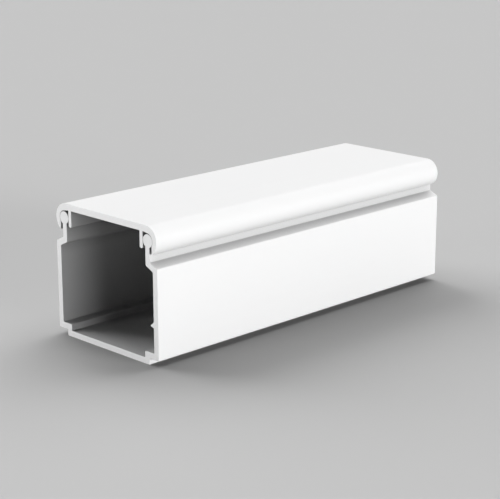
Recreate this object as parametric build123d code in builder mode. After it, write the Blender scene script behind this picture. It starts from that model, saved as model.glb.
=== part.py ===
"""Cable trunking: a snap-lid wiring channel, cut to a short length.

The piece lies as it is fixed to a wall or skirting: back face down at Z = 0, run along X,
width along Y, lid on top. Both parts are extrusions, so each is one cross-section drawn in
the plane across the run and pushed out to both cut ends.
"""

import os
from math import acos, degrees, isclose, sqrt

from build123d import *

# Overall sizes, in millimetres
length = 91.0  # from cut end to cut end
channel_width = 33.0  # over the faces of the two side walls
overall_height = 30.0  # from the back face to the top of the lid

# Channel
side_wall = 1.4
back_plate = 1.35
foot_inset = 2.9  # how far the back face stands in from each side wall's face
foot_rise = 1.45  # how high the cut-away corner under each side wall is
ledge = 1.4  # thickness of the ledge over the cut-away corner
riser = 1.4  # thickness of the small upright between back plate and ledge
shoulder_rise = 1.1  # how much the shoulder climbs on its way in to the neck
neck = 1.3  # thickness of the neck that carries the bead
bead_radius = 1.45  # round bead that the lid snaps over
bead_lean = 0.1  # how far the bead stands outwards from the middle of the neck
rib_height = 8.35  # foot of the small rib inside one wall, above the back face
rib_base = 1.3  # height of the rib where it stands on the wall
rib_reach = 1.1  # how far the rib stands out of the wall, before its rounding
rib_rise = 0.35  # how far the rib's edge lies above the rib's foot
rib_round = 0.25  # rounding of the rib's edge
channel_round = 0.2  # rounding of the channel's corners

# Lid
lid_setback = 0.15  # how far the lid's edges stand in from the side walls' faces
lid_plate = 1.4
crown_drop = 0.2  # how far the crown of the hook's bore lies below the plate's underside
hook = 1.2  # thickness of the hook beside the bead
catch = 0.25  # how far the hook's lip reaches in under the bead
lip_round = 0.2  # rounding of the hook's lip
tongue = 0.95  # inner rib that keeps the bead in the hook
tongue_past = 0.4  # how far the inner rib reaches down past the bead
tongue_round = 0.4  # rounding of the inner rib's end

# Clearances between channel and lid
crown_gap = 0.2  # bead's top to the crown of the hook's bore
snap_gap = 0.05  # bead's two sides to the hook and to the inner rib
groove = 1.65  # open height between the hook's lip and the foot of the neck

# The snap, worked out from the top of the lid downwards and from its edge inwards
lid_edge = channel_width / 2 - lid_setback
lid_underside = overall_height - lid_plate
bead_z = lid_underside - crown_drop - crown_gap - bead_radius
bead_y = lid_edge - hook - snap_gap - bead_radius

# The hook is two arcs: an outer one that rounds the lid's edge, and an inner one, its bore,
# that starts over the bead and passes it at snap_gap. Both end at the lip.
bore_radius = bead_radius + crown_gap
bore_y = lid_edge - hook - bore_radius
edge_radius = overall_height - bead_z
edge_y = lid_edge - edge_radius
lip_y = bead_y + bead_radius - catch
lip_z = bead_z - sqrt(edge_radius**2 - (lip_y - edge_y) ** 2)

os.makedirs("parts", exist_ok=True)


# Channel: half of the cross-section is drawn on the +Y side and mirrored, then the rib is
# added to the -Y wall alone.
wall_outer = channel_width / 2
wall_inner = wall_outer - side_wall
foot_y = wall_outer - foot_inset
ledge_top = foot_rise + ledge
neck_outer = bead_y - bead_lean + neck / 2
neck_inner = neck_outer - neck
rib_tip = rib_reach - wall_inner
rib_edge = rib_height + rib_rise
shoulder_top = lip_z - groove
shoulder_edge = shoulder_top - shoulder_rise
shoulder_slope = shoulder_rise / (wall_outer - neck_outer)
# Straight down through the slope, the shoulder is this thick, as it is as thick as the wall.
shoulder_depth = side_wall * sqrt(1 + shoulder_slope**2)


def under_shoulder(y):
    """Height of the shoulder's underside at a distance y from the middle of the channel."""
    return shoulder_edge + (wall_outer - y) * shoulder_slope - shoulder_depth


with BuildPart() as trunking_base:
    with BuildSketch(Plane.YZ):
        with BuildLine():
            Polyline(
                (0, 0),
                (foot_y, 0),
                (foot_y, foot_rise),
                (wall_outer, foot_rise),
                (wall_outer, shoulder_edge),
                (neck_outer, shoulder_top),
                (neck_outer, bead_z),
                (neck_inner, bead_z),
                (neck_inner, under_shoulder(neck_inner)),
                (wall_inner, under_shoulder(wall_inner)),
                (wall_inner, ledge_top),
                (foot_y - riser, ledge_top),
                (foot_y - riser, back_plate),
                (0, back_plate),
                close=True,
            )
        make_face()
        corners = vertices().filter_by(lambda v: v.X > 0 and v.Y < bead_z)
        fillet(corners, radius=channel_round)
        with Locations((bead_y, bead_z)):
            Circle(bead_radius)
        mirror(about=Plane.YZ)
        with BuildLine():
            Polyline(
                (-wall_outer, rib_height),
                (-wall_inner, rib_height),
                (rib_tip, rib_edge),
                (-wall_inner, rib_height + rib_base),
                (-wall_outer, rib_height + rib_base),
                close=True,
            )
        make_face()
        fillet(vertices().sort_by_distance((rib_tip, rib_edge))[0], radius=rib_round)
    extrude(amount=length / 2, both=True)
trunking_base.part.label = "trunking_base"
export_step(trunking_base.part, "parts/trunking_base.step")


# Lid: a flat plate with a rounded hook along each edge and an inner rib beside each hook.
# Half of the cross-section is drawn on the +Y side and mirrored.
edge_below = degrees(acos((lip_y - edge_y) / edge_radius))
bore_below = degrees(acos((lip_y - bore_y) / bore_radius))
tongue_outer = bead_y - bead_radius - snap_gap
tongue_inner = tongue_outer - tongue
tongue_tip = bead_z - bead_radius - tongue_past

with BuildPart() as lid:
    with BuildSketch(Plane.YZ):
        with BuildLine():
            edge = CenterArc((edge_y, bead_z), edge_radius, 90, -90 - edge_below)
            bore = CenterArc((bore_y, bead_z), bore_radius, 90, -90 - bore_below)
            Line(edge @ 1, bore @ 1)
            Polyline(
                bore @ 0,
                (tongue_outer, lid_underside),
                (tongue_outer, tongue_tip),
                (tongue_inner, tongue_tip),
                (tongue_inner, lid_underside),
                (0, lid_underside),
                (0, overall_height),
                edge @ 0,
            )
        make_face()
        lip_ends = vertices().filter_by(lambda v: isclose(v.X, lip_y, abs_tol=0.001))
        fillet(lip_ends, radius=lip_round)
        tongue_ends = vertices().filter_by(lambda v: isclose(v.Y, tongue_tip, abs_tol=0.001))
        fillet(tongue_ends, radius=tongue_round)
        mirror(about=Plane.YZ)
    extrude(amount=length / 2, both=True)
lid.part.label = "lid"
export_step(lid.part, "parts/lid.step")
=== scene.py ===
# %% [markdown]
# Cable trunking is sold in lengths and fixed to a wall or skirting. Wires lie in a square
# channel, and a flat lid closes it: the lid's two hooked edges clip over a round bead that
# runs along the top of each wall of the channel. This lesson builds a short sawn length of
# it, lying on its back face with the lid on. Both parts are extrusions, which means that one
# cross-section says everything about them. They are drawn as outlines in the plane of one
# cut end and pushed out to the other.
#
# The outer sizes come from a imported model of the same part, which is loaded first. It gives
# the box that the finished pieces have to stay inside, and the two bodies that they ride on.
# The smaller sizes are named in millimetres where they are first needed.

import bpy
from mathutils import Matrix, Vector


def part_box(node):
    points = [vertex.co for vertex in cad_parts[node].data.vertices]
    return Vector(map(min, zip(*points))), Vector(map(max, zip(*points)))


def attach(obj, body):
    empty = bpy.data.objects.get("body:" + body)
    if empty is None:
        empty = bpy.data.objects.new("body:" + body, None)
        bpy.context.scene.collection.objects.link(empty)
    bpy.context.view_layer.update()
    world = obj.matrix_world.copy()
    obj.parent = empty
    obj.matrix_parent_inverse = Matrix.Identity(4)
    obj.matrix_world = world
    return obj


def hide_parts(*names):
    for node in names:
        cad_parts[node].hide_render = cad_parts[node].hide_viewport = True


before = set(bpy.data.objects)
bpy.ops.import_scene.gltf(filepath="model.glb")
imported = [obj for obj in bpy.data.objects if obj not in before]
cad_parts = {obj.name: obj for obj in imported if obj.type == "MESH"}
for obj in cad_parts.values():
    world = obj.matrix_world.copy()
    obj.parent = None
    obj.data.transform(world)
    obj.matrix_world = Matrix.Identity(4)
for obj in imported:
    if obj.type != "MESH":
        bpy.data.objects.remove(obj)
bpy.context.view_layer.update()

# %% Tools and outer sizes
from math import atan2, cos, hypot, pi, radians, sin, sqrt

import bmesh
import bpy
from mathutils import Matrix, Quaternion, Vector

MM = 0.001

channel_low, channel_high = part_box("trunking_base")
_, lid_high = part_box("lid")
near_end = channel_low.x
run = channel_high.x - near_end
wall_outer = channel_high.y
lid_edge = lid_high.y
lid_top = lid_high.z
print(f"run {run / MM:.1f} mm, channel {2 * wall_outer / MM:.1f} mm wide")
print(f"lid {2 * lid_edge / MM:.1f} mm wide, its top {lid_top / MM:.1f} mm up")

# %% [markdown]
# The camera stands low and off one corner, with a long lens, so that the cut end and one
# long side show about equally and the edges stay nearly parallel. It is placed by where it
# stands and by the point that it looks at. Its roll of less than a tenth of a degree only
# levels the long edges as they are in the photograph.

# %% Camera
camera_stand = Vector((-0.24262, -0.24173, 0.10846))
camera_aim = Vector((0.00455, 0.00710, 0.01107))
camera_roll = radians(-0.09)
frame_width = 500
focal_pixels = 1530.07

camera_data = bpy.data.cameras.new("camera")
camera_data.sensor_fit = "HORIZONTAL"
camera_data.sensor_width = 36.0
camera_data.lens = camera_data.sensor_width * focal_pixels / frame_width
camera_data.clip_start = 0.01
camera_data.clip_end = 20.0
camera = bpy.data.objects.new("camera", camera_data)
bpy.context.scene.collection.objects.link(camera)
look = (camera_aim - camera_stand).to_track_quat("-Z", "Y")
camera.rotation_mode = "QUATERNION"
camera.location = camera_stand
camera.rotation_quaternion = look @ Quaternion((0, 0, 1), camera_roll)
bpy.context.scene.camera = camera
camera_distance = (camera_aim - camera_stand).length
print(f"lens {camera_data.lens:.1f} mm, {camera_distance / MM:.0f} mm from its aim")

# %% [markdown]
# An outline is a chain of corners joined by straight edges, with arcs between some of them.
# A corner here is a pair of numbers, across and up, because every point of a cross-section
# lies in the plane of the near cut end. Straight stretches are drawn corner by corner. An arc
# comes from the spin operator, which drags one vertex round a centre and leaves an edge
# behind it at each step, so its points are never worked out by hand.

# %% Drawing helpers
def draw(bm, corners):
    """Joins the corners by straight edges and returns their vertices."""
    verts = [bm.verts.new((near_end, across, up)) for across, up in corners]
    for a, b in zip(verts, verts[1:]):
        bm.edges.new((a, b))
    return verts


def turn(centre, corner):
    """The angle at which a corner stands round a centre, from straight out towards straight up."""
    return atan2(corner[1] - centre[1], corner[0] - centre[0])


def spin_arc(bm, start, centre, angle, steps):
    """Drags the vertex start round the centre and returns the vertex at the arc's end."""
    spun = bmesh.ops.spin(
        bm,
        geom=[start],
        cent=(near_end, *centre),
        axis=(1, 0, 0),
        angle=angle,
        steps=steps,
        use_merge=False,
        use_duplicate=False,
    )
    return next(item for item in spun["geom_last"] if isinstance(item, bmesh.types.BMVert))


# %% [markdown]
# Both cross-sections are the same left and right, apart from one small rib. So half of each
# is drawn, and the mirror operator adds the other half. The closed outline is then filled
# and pushed out to the full run. A channel could also be cut out of a block with booleans,
# but an outline shows every thickness at a glance, and it gives clean faces.

# %% From outline to extrusion
join_distance = 0.001 * MM


def mirror_half(bm):
    """Adds the other half of an outline and merges the two in the middle."""
    bmesh.ops.mirror(
        bm,
        geom=bm.verts[:] + bm.edges[:],
        matrix=Matrix.Identity(4),
        merge_dist=join_distance,
        axis="Y",
    )


def push_out(bm):
    """Fills the closed outline in bm and pushes it from the near cut end to the far one."""
    filled = bmesh.ops.edgeloop_fill(bm, edges=bm.edges[:])
    pushed = bmesh.ops.extrude_face_region(bm, geom=filled["faces"])
    moved = [item for item in pushed["geom"] if isinstance(item, bmesh.types.BMVert)]
    bmesh.ops.translate(bm, verts=moved, vec=(run, 0, 0))
    bmesh.ops.recalc_face_normals(bm, faces=bm.faces[:])


# %% [markdown]
# A real extrusion has no knife-sharp corners along its run, because the die that shapes it
# has small radii and the plastic pulls in a little as it cools. Its cut ends are different:
# a saw leaves them nearly sharp, with the burr wiped off. So there are two kinds of bevel:
# the long edges get their die radius, and the rim of each cut end a very small one.
#
# The bevels are real geometry and not only shading, because a light edge on white plastic
# is what tells the eye where one face ends and the next begins. The operator is used rather
# than the Bevel modifier, because here each edge can have its own radius.

# %% Rounding the edges
rim_round = 0.05 * MM
rim_segments = 2
die_segments = 5
end_face_normal = 0.9


def both_sides(corners):
    """The corners and their mirror images on the other side of the middle."""
    return corners + [(-across, up) for across, up in corners]


def long_edges(bm, corners):
    """The edges along the run that pass through one of these corners."""
    found = []
    for edge in bm.edges:
        a, b = edge.verts
        if abs(a.co.x - b.co.x) < run / 2:
            continue
        if any(hypot(a.co.y - across, a.co.z - up) < join_distance for across, up in corners):
            found.append(edge)
    return found


def round_off(bm, edges, radius, segments):
    """Bevels edges to an arc."""
    bmesh.ops.bevel(
        bm,
        geom=edges,
        offset=radius,
        offset_type="OFFSET",
        segments=segments,
        profile=0.5,
        affect="EDGES",
        material=-1,
        clamp_overlap=True,
        loop_slide=True,
    )


def round_cut_ends(bm):
    """Takes the sharpness off the rim of both cut ends and returns how many edges it has."""
    rims = []
    for edge in bm.edges:
        on_end = [abs(face.normal.x) > end_face_normal for face in edge.link_faces]
        if len(on_end) == 2 and on_end[0] != on_end[1]:
            rims.append(edge)
    round_off(bm, rims, rim_round, rim_segments)
    return len(rims)


# %% [markdown]
# The bead and the hook fit into each other, so their sizes are worked out together, from the
# lid's top downwards and from its edge inwards. The hook is made of two arcs. The outer one
# rounds the edge of the lid. The inner one is the hook's bore: its crown lies a little below
# the lid's underside (crown_drop) and above the bead (crown_gap), and it comes down past the
# bead's outer side with a twentieth of a millimetre to spare (side_gap), so that the two look
# as if they touch, as the real ones do. Both arcs end at the lip, which reaches in under the
# bead by the catch and holds the lid.

# %% Sizes of the bead and the hook
lid_plate = 1.4 * MM
crown_drop = 0.2 * MM
hook = 1.2 * MM
catch = 0.25 * MM
crown_gap = 0.2 * MM
side_gap = 0.05 * MM
bead_radius = 1.45 * MM

lid_underside = lid_top - lid_plate
bead_up = lid_underside - crown_drop - crown_gap - bead_radius
bead_across = lid_edge - hook - side_gap - bead_radius
bore_radius = bead_radius + crown_gap
bore_across = lid_edge - hook - bore_radius
edge_radius = lid_top - bead_up
edge_across = lid_edge - edge_radius
lip_across = bead_across + bead_radius - catch
edge_lip_up = bead_up - sqrt(edge_radius**2 - (lip_across - edge_across) ** 2)
bore_lip_up = bead_up - sqrt(bore_radius**2 - (lip_across - bore_across) ** 2)
print(f"bead centre {bead_across / MM:.2f} mm out and {bead_up / MM:.2f} mm up")
print(f"lip {edge_lip_up / MM:.2f} mm up")

# %% [markdown]
# The channel is one outline. From the middle of its back plate it goes out to a small foot,
# steps up and out under a ledge, climbs the wall, leans in over the shoulder, and rises as a
# neck that carries the bead. It then comes back down the inside, at nearly the same
# thickness all the way. The riser and the ledge are the upright and the level part of the
# step over the foot, and the groove is the gap between the lid's lip and the shoulder. The
# middle of the bead leans out past the middle of the neck by a tenth of a millimetre.
#
# One wall has a small rib inside, low down. It isn't on the other side, so it is made after
# the mirror: the wall's line is divided in three places, the three new corners are gathered
# where the rib is, and the middle one moves in to become the rib's edge.

# %% Sizes of the channel
side_wall = 1.4 * MM
back_plate = 1.35 * MM
foot_inset = 2.9 * MM
foot_rise = 1.45 * MM
ledge = 1.4 * MM
riser = 1.4 * MM
shoulder_rise = 1.1 * MM
neck = 1.3 * MM
bead_lean = 0.1 * MM
groove = 1.65 * MM
rib_up = 8.35 * MM
rib_base = 1.3 * MM
rib_reach = 1.1 * MM
rib_rise = 0.35 * MM

wall_inner = wall_outer - side_wall
foot_across = wall_outer - foot_inset
riser_inner = foot_across - riser
ledge_top = foot_rise + ledge
neck_outer = bead_across - bead_lean + neck / 2
neck_inner = neck_outer - neck
shoulder_top = edge_lip_up - groove
shoulder_edge = shoulder_top - shoulder_rise
slope = shoulder_rise / (wall_outer - neck_outer)
shoulder_depth = side_wall * sqrt(1 + slope**2)
print(f"wall {(shoulder_edge - foot_rise) / MM:.1f} mm high, from {foot_rise / MM:.2f} mm up")

# %% Outline of the channel
def under_shoulder(across):
    """Height of the shoulder's underside at a distance from the middle of the channel."""
    return shoulder_edge + (wall_outer - across) * slope - shoulder_depth


def bead_foot(across):
    """The corner where the neck's face at this distance runs into the bead."""
    return across, bead_up - sqrt(bead_radius**2 - (across - bead_across) ** 2)


outside = [
    (0, 0),
    (foot_across, 0),
    (foot_across, foot_rise),
    (wall_outer, foot_rise),
    (wall_outer, shoulder_edge),
    (neck_outer, shoulder_top),
    bead_foot(neck_outer),
]
inside = [
    bead_foot(neck_inner),
    (neck_inner, under_shoulder(neck_inner)),
    (wall_inner, under_shoulder(wall_inner)),
    (wall_inner, ledge_top),
    (riser_inner, ledge_top),
    (riser_inner, back_plate),
    (0, back_plate),
]
rib_corners = [
    (-wall_inner, rib_up),
    (rib_reach - wall_inner, rib_up + rib_rise),
    (-wall_inner, rib_up + rib_base),
]
rib_edge = rib_corners[1:2]
print(f"{len(outside)} corners outside and {len(inside)} inside, {len(rib_corners)} for the rib")

# %% Channel
channel_round = 0.2 * MM
rib_round = 0.25 * MM
bead_steps = 56
full_turn = 2 * pi


def pull_out_rib(bm):
    """Makes the rib out of the inner line of the wall on the near side."""
    wall_lines = []
    for edge in bm.edges:
        if all(abs(vert.co.y + wall_inner) < join_distance for vert in edge.verts):
            wall_lines.append(edge)
    line = max(wall_lines, key=lambda edge: edge.calc_length())
    cut = bmesh.ops.subdivide_edges(bm, edges=[line], cuts=len(rib_corners))
    added = [item for item in cut["geom_inner"] if isinstance(item, bmesh.types.BMVert)]
    added.sort(key=lambda vert: vert.co.z)
    for vert, (across, up) in zip(added, rib_corners):
        vert.co.y = across
        vert.co.z = up


channel_bm = bmesh.new()
outer_line = draw(channel_bm, outside)
inner_line = draw(channel_bm, inside)
bead_centre = (bead_across, bead_up)
bead_angle = turn(bead_centre, inside[0]) - turn(bead_centre, outside[-1])
bead_end = spin_arc(channel_bm, outer_line[-1], bead_centre, bead_angle % full_turn, bead_steps)
bmesh.ops.pointmerge(channel_bm, verts=[bead_end, inner_line[0]], merge_co=inner_line[0].co)
mirror_half(channel_bm)
pull_out_rib(channel_bm)
push_out(channel_bm)
die_corners = both_sides(outside[1:-1] + inside[1:-1])
round_off(channel_bm, long_edges(channel_bm, die_corners), channel_round, die_segments)
round_off(channel_bm, long_edges(channel_bm, rib_edge), rib_round, die_segments)
channel_rims = round_cut_ends(channel_bm)
print(f"channel: {len(channel_bm.faces)} faces, {channel_rims} rim edges eased")

# %% [markdown]
# The lid is a flat plate with a hook along each edge and, beside each hook, a thin tongue
# that hangs down inside the channel. Hook and tongue together hold the bead between them, so
# the lid can't tip off when it is knocked. The outline is drawn the same way: half of it, with
# the spin operator for the two arcs of the hook, and the mirror operator for the rest.

# %% Sizes and outline of the lid
tongue = 0.95 * MM
tongue_past = 0.4 * MM

tongue_outer = bead_across - bead_radius - side_gap
tongue_inner = tongue_outer - tongue
tongue_tip = bead_up - bead_radius - tongue_past

edge_centre = (edge_across, bead_up)
bore_centre = (bore_across, bead_up)
edge_lip = (lip_across, edge_lip_up)
bore_lip = (lip_across, bore_lip_up)
plate_top = [(0, lid_top), (edge_across, lid_top)]
plate_below = [
    (bore_across, bead_up + bore_radius),
    (tongue_outer, lid_underside),
    (tongue_outer, tongue_tip),
    (tongue_inner, tongue_tip),
    (tongue_inner, lid_underside),
    (0, lid_underside),
]
print(f"tongue {(lid_underside - tongue_tip) / MM:.2f} mm long and {tongue / MM:.2f} mm thick")

# %% Lid
tongue_round = 0.4 * MM
lip_round = 0.2 * MM
edge_steps = 40
bore_steps = 32
straight_up = pi / 2

lid_bm = bmesh.new()
top_line = draw(lid_bm, plate_top)
below_line = draw(lid_bm, plate_below)
edge_angle = turn(edge_centre, edge_lip) - straight_up
bore_angle = turn(bore_centre, bore_lip) - straight_up
edge_end = spin_arc(lid_bm, top_line[-1], edge_centre, edge_angle, edge_steps)
bore_end = spin_arc(lid_bm, below_line[0], bore_centre, bore_angle, bore_steps)
lid_bm.edges.new((edge_end, bore_end))
mirror_half(lid_bm)
push_out(lid_bm)
lip_corners = both_sides([edge_lip, bore_lip])
tongue_corners = both_sides([(tongue_outer, tongue_tip), (tongue_inner, tongue_tip)])
round_off(lid_bm, long_edges(lid_bm, lip_corners), lip_round, die_segments)
round_off(lid_bm, long_edges(lid_bm, tongue_corners), tongue_round, die_segments)
lid_rims = round_cut_ends(lid_bm)
print(f"lid: {len(lid_bm.faces)} faces, {lid_rims} rim edges eased")

# %% [markdown]
# The plastic's finish is made of shader nodes. In the editor they are placed and wired by
# hand. In a script each of them takes several lines, so the kinds that come back often have
# a helper. Most helpers add one node, feed it, and return the socket that the next one reads.

# %% Node helpers
def feed(tree, socket, value):
    """Links a socket to another one, or sets it to a number or a colour."""
    if isinstance(value, bpy.types.NodeSocket):
        tree.links.new(value, socket)
    else:
        socket.default_value = value


def maths(tree, operation, *values):
    """Adds one Math node. The values are numbers or sockets."""
    node = tree.nodes.new("ShaderNodeMath")
    node.operation = operation
    for socket, value in zip(node.inputs, values):
        feed(tree, socket, value)
    return node.outputs["Value"]


def mix(tree, factor, a, b, kind="RGBA", blend="MIX"):
    """Adds one Mix node for two colours, or for two numbers where the kind is FLOAT."""
    node = tree.nodes.new("ShaderNodeMix")
    node.data_type = kind
    node.blend_type = blend
    for name, value in (("Factor", factor), ("A", a), ("B", b)):
        feed(tree, node.inputs[name], value)
    return node.outputs["Result"]


def ramp(tree, value, low, high):
    """Adds one Map Range node that rises from 0 to 1 while the value goes from low to high."""
    node = tree.nodes.new("ShaderNodeMapRange")
    node.inputs["From Min"].default_value = low
    node.inputs["From Max"].default_value = high
    tree.links.new(value, node.inputs["Value"])
    return node.outputs["Result"]


def share_along(tree, vector, axis):
    """Reads the X, Y or Z number of a vector socket."""
    node = tree.nodes.new("ShaderNodeSeparateXYZ")
    tree.links.new(vector, node.inputs["Vector"])
    return node.outputs[axis]


def noise(tree, vector, detail, roughness):
    """Adds one Noise Texture node. The vector alone sets the size of its pattern."""
    node = tree.nodes.new("ShaderNodeTexNoise")
    node.inputs["Scale"].default_value = 1
    node.inputs["Detail"].default_value = detail
    node.inputs["Roughness"].default_value = roughness
    tree.links.new(vector, node.inputs["Vector"])
    return node.outputs["Fac"]


def stretched(tree, vector, along, across):
    """Scales object coordinates: along the run, and across it."""
    node = tree.nodes.new("ShaderNodeMapping")
    node.inputs["Scale"].default_value = (along, across, across)
    tree.links.new(vector, node.inputs["Vector"])
    return node.outputs["Vector"]


def grey(level):
    """An opaque grey, as a colour."""
    return level, level, level, 1


# %% [markdown]
# Rigid PVC leaves the die with very fine lines along its run, about a hundredth of a
# millimetre deep. They hardly show as shapes, but they draw every reflection out along the
# length and give the plastic its satin look. Modelled, they would take a great many faces,
# so they are a noise pattern on object coordinates, squeezed across the run and stretched
# along it. Both parts have them, each at its own strength, so they are a node group that is built
# once. It mixes fine lines with broad ones, and puts the broad ones out as a haze as well.

# %% Extrusion lines as a node group
def new_group(name, inputs, outputs):
    """Starts a shader node group with named number sockets and returns it with its two ends."""
    group = bpy.data.node_groups.new(name, "ShaderNodeTree")
    for socket, value in inputs.items():
        made = group.interface.new_socket(socket, in_out="INPUT", socket_type="NodeSocketFloat")
        made.default_value = value
    for socket in outputs:
        group.interface.new_socket(socket, in_out="OUTPUT", socket_type="NodeSocketFloat")
    return group, group.nodes.new("NodeGroupInput"), group.nodes.new("NodeGroupOutput")


lines_per_metre = 2600
wander_per_metre = 9
broad_lines_per_metre = lines_per_metre / 6
broad_wander_per_metre = wander_per_metre / 2

lines_group, lines_in, lines_out = new_group(
    "extrusion_lines", {"Fine Share": 0.5}, ["Height", "Haze"]
)
lines_coords = lines_group.nodes.new("ShaderNodeTexCoord").outputs["Object"]
fine_coords = stretched(lines_group, lines_coords, wander_per_metre, lines_per_metre)
broad_coords = stretched(lines_group, lines_coords, broad_wander_per_metre, broad_lines_per_metre)
fine = noise(lines_group, fine_coords, detail=3, roughness=0.6)
broad = noise(lines_group, broad_coords, detail=2, roughness=0.5)
fine_part = maths(lines_group, "MULTIPLY", fine, lines_in.outputs["Fine Share"])
broad_share = maths(lines_group, "SUBTRACT", 1, lines_in.outputs["Fine Share"])
line_height = maths(lines_group, "MULTIPLY_ADD", broad, broad_share, fine_part)
lines_group.links.new(line_height, lines_out.inputs["Height"])
lines_group.links.new(broad, lines_out.inputs["Haze"])
print(f"extrusion lines about {1 / lines_per_metre / MM:.2f} mm apart")

# %% [markdown]
# The ends were sawn. A circular blade leaves shallow arcs across the cut, and a duller
# surface than the die does. The arcs are made by a Wave Texture, as rings round one point
# well outside the part, where the blade's arbor would be. At a scale of 1 its rings are a
# tenth of pi apart. A mask keeps the marks to the faces that look along the run, and fades
# over the eased rim. A finer noise, the fleck, roughens the tone of the cut.

# %% Saw marks as a node group
arbor_across = 45 * MM
arbor_up = -85 * MM
mark_pitch = 0.42 * MM
ring_period = pi / 10
mask_starts = 0.6
mask_is_full = 0.95
mark_wander = 1.2
flecks_per_metre = 3500

saw_group, saw_in, saw_out = new_group(
    "saw_marks", {"Wander": mark_wander}, ["Mask", "Height", "Fleck"]
)
saw_coords = saw_group.nodes.new("ShaderNodeTexCoord")
saw_place = saw_coords.outputs["Object"]
placed = saw_group.nodes.new("ShaderNodeMapping")
placed.inputs["Location"].default_value = (0, -arbor_across, -arbor_up)
saw_group.links.new(saw_place, placed.inputs["Vector"])
rings = saw_group.nodes.new("ShaderNodeTexWave")
rings.wave_type = "RINGS"
rings.rings_direction = "X"
rings.inputs["Scale"].default_value = ring_period / mark_pitch
rings.inputs["Detail"].default_value = 2
rings.inputs["Detail Scale"].default_value = 1.5
saw_group.links.new(placed.outputs["Vector"], rings.inputs["Vector"])
saw_group.links.new(saw_in.outputs["Wander"], rings.inputs["Distortion"])
looks_along = share_along(saw_group, saw_coords.outputs["Normal"], "X")
mask = ramp(saw_group, maths(saw_group, "ABSOLUTE", looks_along), mask_starts, mask_is_full)
fleck_coords = stretched(saw_group, saw_place, flecks_per_metre, flecks_per_metre)
fleck = noise(saw_group, fleck_coords, detail=2, roughness=0.6)
saw_group.links.new(mask, saw_out.inputs["Mask"])
saw_group.links.new(rings.outputs["Fac"], saw_out.inputs["Height"])
saw_group.links.new(fleck, saw_out.inputs["Fleck"])
print(f"saw marks {mark_pitch / MM:.2f} mm apart")
print(f"blade arbor {hypot(arbor_across, arbor_up) / MM:.0f} mm from the middle of the back face")

# %% [markdown]
# White things light each other up. Between the white walls of the channel the light would
# bounce to and fro until the inside was nearly as bright as the outside, but the photograph
# shows a deep shade in there, and dark shadows on the floor. So each material shows its real
# colour to the camera, and a darker one to the surfaces round it, which then get less light
# from it. Rays are followed backwards, from the camera. Light Path's Is Diffuse Ray output
# is on where a ray has left another dull surface already, so it tells the two apart. It
# stays in the material itself, outside any group.

# %% Darker to its neighbours
plastic_to_neighbours = 0.14
floor_to_neighbours = 0.35


def darker_to_neighbours(tree, colour, neighbour_grey):
    """Shows a colour to the camera and a grey to the surfaces round it."""
    light_path = tree.nodes.new("ShaderNodeLightPath")
    return mix(tree, light_path.outputs["Is Diffuse Ray"], colour, grey(neighbour_grey))


print(f"other surfaces see grey {plastic_to_neighbours} of the plastic")
print(f"and grey {floor_to_neighbours} of the floor")

# %% [markdown]
# The lid's hook overhangs the neck and the shoulder of the wall, and the photograph shows the
# groove under it as a grey stripe along the whole side. Faces that lie so close together keep
# most of the light out. The Ambient Occlusion node finds such places: it measures how much of
# a face's surroundings is closed within a short reach, and that shade is painted into the
# plastic's colour. It would find the foot as well, where the part stands on the floor, so the
# painted shade starts above the middle of the wall.

# %% Painted shade in the grooves
shade_starts = 0.4 * lid_top
shade_is_full = 0.6 * lid_top


def paint_shade_in_grooves(tree, coords, colour, reach, strength):
    """Paints shade into a colour: darkens it by up to strength where faces of the part close in
    within reach.
    """
    surroundings = tree.nodes.new("ShaderNodeAmbientOcclusion")
    surroundings.inputs["Distance"].default_value = reach
    closed = maths(tree, "SUBTRACT", 1, surroundings.outputs["AO"])
    upper = ramp(tree, share_along(tree, coords, "Z"), shade_starts, shade_is_full)
    shade = maths(tree, "MULTIPLY", closed, maths(tree, "MULTIPLY", upper, strength))
    return mix(tree, 1, colour, maths(tree, "SUBTRACT", 1, shade), blend="MULTIPLY")


print(f"groove shade from {shade_starts / MM:.1f} mm up, full at {shade_is_full / MM:.1f} mm")

# %% [markdown]
# The plastic itself is a nearly neutral white, kept just under full white, so that a lit
# face keeps its tones. No extrusion is one even tone: its white drifts a little over the
# length, follows the broad lines, and is softer in the flecks of a cut. A picture of
# real plastic could be laid on, but noise needs no unwrapping and shows no seams.

# %% Colour of the plastic
pure_white = (0.90, 0.90, 0.90, 1)
softened_white = (0.875, 0.876, 0.878, 1)
drifts_along = 14
drifts_across = 40
haze_share = 0.35


def plastic_colour(tree, lines, saw, groove_reach, painted_groove_shade):
    """White that drifts a little, with painted shade in the grooves, and darker to its neighbours.
    """
    coords = tree.nodes.new("ShaderNodeTexCoord").outputs["Object"]
    drift_coords = stretched(tree, coords, drifts_along, drifts_across)
    drift = noise(tree, drift_coords, detail=2, roughness=0.5)
    drift_part = maths(tree, "MULTIPLY", drift, 1 - haze_share)
    skin_tone = maths(tree, "MULTIPLY_ADD", lines.outputs["Haze"], haze_share, drift_part)
    cut_tone = maths(tree, "MULTIPLY", saw.outputs["Mask"], saw.outputs["Fleck"])
    softening = maths(tree, "MAXIMUM", skin_tone, cut_tone)
    white = mix(tree, softening, pure_white, softened_white)
    # painted shade: the grooves are darkened in the colour itself
    grooved = paint_shade_in_grooves(tree, coords, white, groove_reach, painted_groove_shade)
    return darker_to_neighbours(tree, grooved, plastic_to_neighbours)


print("white from", pure_white[:3], "to", softened_white[:3])

# %% [markdown]
# The surface is a dull satin that shows no clear reflection of anything. A fairly high
# roughness and half of the usual specular level keep its shine soft, and a sawn face is
# rougher still. A Bump node turns the lines and the saw marks into relief: the mask picks
# the saw marks on the cut ends, and the lines elsewhere.

# %% Surface of the plastic
haze_roughness = 0.08
sawn_roughness = 0.2


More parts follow.
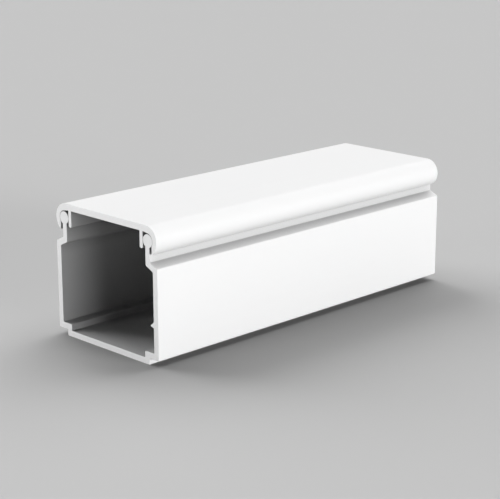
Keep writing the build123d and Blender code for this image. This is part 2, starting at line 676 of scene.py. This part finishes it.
def plastic_roughness(tree, lines, saw, skin_roughness):
    """Roughness that follows the haze of the lines, and is higher where it was sawn."""
    skin = maths(tree, "MULTIPLY_ADD", lines.outputs["Haze"], haze_roughness, skin_roughness)
    sawn = maths(tree, "MULTIPLY", saw.outputs["Mask"], sawn_roughness)
    return maths(tree, "ADD", skin, sawn)


def plastic_relief(tree, lines, saw, line_depth):
    """Normals that are tilted by the lines, or by the saw marks on the cut ends."""
    lines_height = lines.outputs["Height"]
    saw_height = saw.outputs["Height"]
    bump = tree.nodes.new("ShaderNodeBump")
    bump.inputs["Distance"].default_value = line_depth
    relief = mix(tree, saw.outputs["Mask"], lines_height, saw_height, kind="FLOAT")
    tree.links.new(relief, bump.inputs["Height"])
    return bump.outputs["Normal"]


print(f"roughness rises by {haze_roughness} in the haze and {sawn_roughness} on the cut ends")

# %% [markdown]
# The lid and the channel are the same compound, but they come from two dies, so the lid gets
# slightly finer lines and a touch more gloss. Its grooves are narrow, while the one under the
# hook is wide on the channel's side, so the painted shade reaches further there.

# %% Two plastics
plastic_ior = 1.53
specular_level = 0.25


def white_plastic(name, roughness, fine_share, line_depth, groove_reach, painted_groove_shade):
    """One extruded white plastic with its own lines, sawn ends and tone."""
    material = bpy.data.materials.new(name)
    material.use_nodes = True
    tree = material.node_tree
    lines = tree.nodes.new("ShaderNodeGroup")
    lines.node_tree = lines_group
    lines.inputs["Fine Share"].default_value = fine_share
    saw = tree.nodes.new("ShaderNodeGroup")
    saw.node_tree = saw_group
    colour = plastic_colour(tree, lines, saw, groove_reach, painted_groove_shade)

    shader = tree.nodes["Principled BSDF"]
    shader.inputs["IOR"].default_value = plastic_ior
    shader.inputs["Specular IOR Level"].default_value = specular_level
    tree.links.new(colour, shader.inputs["Base Color"])
    tree.links.new(plastic_roughness(tree, lines, saw, roughness), shader.inputs["Roughness"])
    tree.links.new(plastic_relief(tree, lines, saw, line_depth), shader.inputs["Normal"])
    return material


# the groove settings below set the reach and strength of the painted shade in the grooves
channel_plastic = white_plastic(
    "channel_plastic",
    roughness=0.52,
    fine_share=0.55,
    line_depth=0.012 * MM,
    groove_reach=3.0 * MM,
    painted_groove_shade=0.8,
)
lid_plastic = white_plastic(
    "lid_plastic",
    roughness=0.46,
    fine_share=0.65,
    line_depth=0.008 * MM,
    groove_reach=1.0 * MM,
    painted_groove_shade=0.9,
)
print("materials:", channel_plastic.name, lid_plastic.name)

# %% [markdown]
# Each bmesh becomes a mesh object that sits at the origin, with its place in its mesh. All
# faces are shaded smooth, but edges that turn sharply stay sharp. The small arcs would still
# tint the large flat faces beside them, so a Weighted Normal modifier lets the large faces
# keep their own direction, and only the arcs blend.

# %% Finish the pieces
sharp_turn = radians(35)


def make_piece(bm, name, material):
    """Turns a finished bmesh into a smooth-shaded object with one material."""
    mesh = bpy.data.meshes.new(name)
    bm.to_mesh(mesh)
    bm.free()
    mesh.shade_smooth()
    mesh.set_sharp_from_angle(angle=sharp_turn)
    mesh.materials.append(material)
    piece = bpy.data.objects.new(name, mesh)
    bpy.context.scene.collection.objects.link(piece)
    even = piece.modifiers.new("even_normals", "WEIGHTED_NORMAL")
    even.keep_sharp = True
    return piece


channel = make_piece(channel_bm, "channel_extrusion", channel_plastic)
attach(channel, "channel")
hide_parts("trunking_base")

lid = make_piece(lid_bm, "lid_extrusion", lid_plastic)
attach(lid, "lid")
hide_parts("lid")
for piece in (channel, lid):
    print(piece.name, [round(side / MM, 2) for side in piece.dimensions], "mm")

# %% [markdown]
# The floor is a plain pale grey sheet, wide enough to fill the picture from most sides. It
# has no shine at all, so that the only thing on it is the part's own shadow.

# %% Floor
floor_radius = 3.0
floor_sides = 96
floor_grey = 0.59

floor_bm = bmesh.new()
bmesh.ops.create_circle(floor_bm, cap_ends=True, radius=floor_radius, segments=floor_sides)
floor_mesh = bpy.data.meshes.new("floor")
floor_bm.to_mesh(floor_mesh)
floor_bm.free()
floor = bpy.data.objects.new("floor", floor_mesh)
bpy.context.scene.collection.objects.link(floor)

floor_paint = bpy.data.materials.new("floor_paint")
floor_paint.use_nodes = True
floor_tree = floor_paint.node_tree
floor_shader = floor_tree.nodes["Principled BSDF"]
floor_shader.inputs["Roughness"].default_value = 1.0
floor_shader.inputs["Specular IOR Level"].default_value = 0.0
floor_colour = darker_to_neighbours(floor_tree, grey(floor_grey), floor_to_neighbours)
floor_tree.links.new(floor_colour, floor_shader.inputs["Base Color"])
floor_mesh.materials.append(floor_paint)
print(f"floor grey {floor_grey} and {2 * floor_radius} m across")

# %% [markdown]
# Past the floor's edge the world shows the camera and the reflections the grey that the lit
# floor has, so that there is no visible horizon. It gives the part no light: all of that is
# the lamps'. Light Path's ray outputs keep the two apart.

# %% World
backdrop_grey = 0.57

world = bpy.data.worlds.new("studio")
world.use_nodes = True
bpy.context.scene.world = world
sky = world.node_tree
background = sky.nodes["Background"]
rays = sky.nodes.new("ShaderNodeLightPath")
seen = maths(sky, "MAXIMUM", rays.outputs["Is Camera Ray"], rays.outputs["Is Glossy Ray"])
shown = maths(sky, "MAXIMUM", seen, rays.outputs["Is Transmission Ray"])
background.inputs["Color"].default_value = grey(1)
sky.links.new(maths(sky, "MULTIPLY", shown, backdrop_grey), background.inputs["Strength"])
print(f"backdrop grey {backdrop_grey}")

# %% [markdown]
# A few broad soft lamps light the part, like softboxes far away. Sun lamps are used because
# they light the whole floor evenly, and their angle sets how soft the shadows are. A sun of
# strength pi lights a white face that is turned to it to plain white. A lamp is placed by its
# bearing, counted from the run towards the far side, and by its height, both in degrees.
#
# The side lamp stands low in front of the long side and makes it the brightest face. The
# corner lamp is much weaker: it shines past the near corner, a few millimetres into the open
# end. The end lamp stands at floor height in front of the cut end, a little towards the far
# side. It lights the sawn face, and leaves the floor and the wall that shows inside the channel
# dark. The back lamp lays a soft shadow on the floor in front of the part. The top lamp stands
# beyond the far end: it evens out the lid and lays the shadow before the cut end. Half of the
# end lamp's disc is below the floor, so the face shows about half of its light.

# %% Lamps
def softbox(name, bearing, height, light, spread):
    """Adds a soft lamp far away. Its light is what a white face turned to it shows."""
    data = bpy.data.lights.new(name, "SUN")
    data.energy = light * pi
    data.angle = radians(spread)
    lamp = bpy.data.objects.new(name, data)
    turned = radians(bearing)
    raised = radians(height)
    flat = cos(raised)
    towards = Vector((cos(turned) * flat, sin(turned) * flat, sin(raised)))
    lamp.rotation_mode = "QUATERNION"
    lamp.rotation_quaternion = towards.to_track_quat("Z", "Y")
    bpy.context.scene.collection.objects.link(lamp)
    print(f"{name}: {light} from bearing {bearing}, height {height}, {spread} degrees wide")


softbox("side_lamp", bearing=283, height=2, light=1.13, spread=20)
softbox("corner_lamp", bearing=262, height=6, light=0.25, spread=30)
softbox("end_lamp", bearing=168, height=0, light=1.00, spread=9)
softbox("back_lamp", bearing=90, height=35, light=0.74, spread=56)
softbox("top_lamp", bearing=11, height=47, light=0.58, spread=60)

# %% [markdown]
# The Standard view transform shows colours as they are written, and the camera's depth of
# field stays off, as it is from the start.

# %% Finish
bpy.context.scene.view_settings.view_transform = "Standard"
